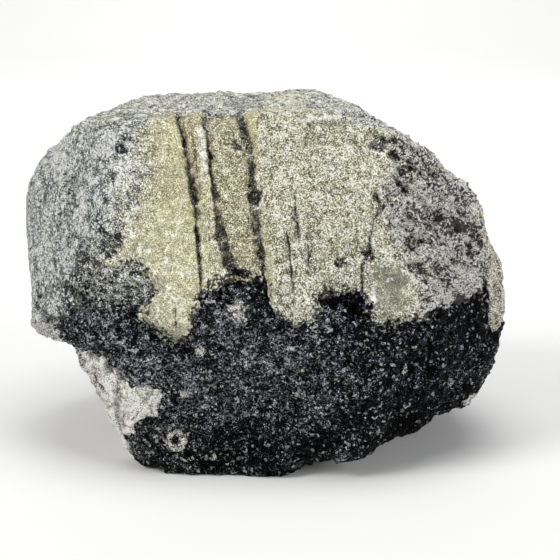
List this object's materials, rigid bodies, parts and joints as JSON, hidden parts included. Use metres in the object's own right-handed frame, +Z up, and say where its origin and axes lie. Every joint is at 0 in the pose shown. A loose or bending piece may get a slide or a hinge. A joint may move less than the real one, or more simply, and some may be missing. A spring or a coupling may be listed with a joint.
{
  "type": "phenakite crystal",
  "caption": "Rounded block of pale olive phenakite with a fluted front face and a glassy break, wrapped below by a rind of dark mica schist.",
  "frame": {"origin": "on the surface the stone stands on, under the middle of its bounding box", "axes": "+Z up, +X towards the layered right end as seen from the front, the fluted front face looks along -Y"},
  "size_m": [0.084, 0.0556, 0.0609],
  "materials": {
    "phenakite": "waxy to glassy, fine-grained skin with fluted growth lines",
    "mica_schist": "rough, flaky dark mica with bright glints"
  },
  "bodies": {
    "root": {"phenakite_crystal": "phenakite", "mica_schist": "mica_schist"}
  },
  "joints": []
}
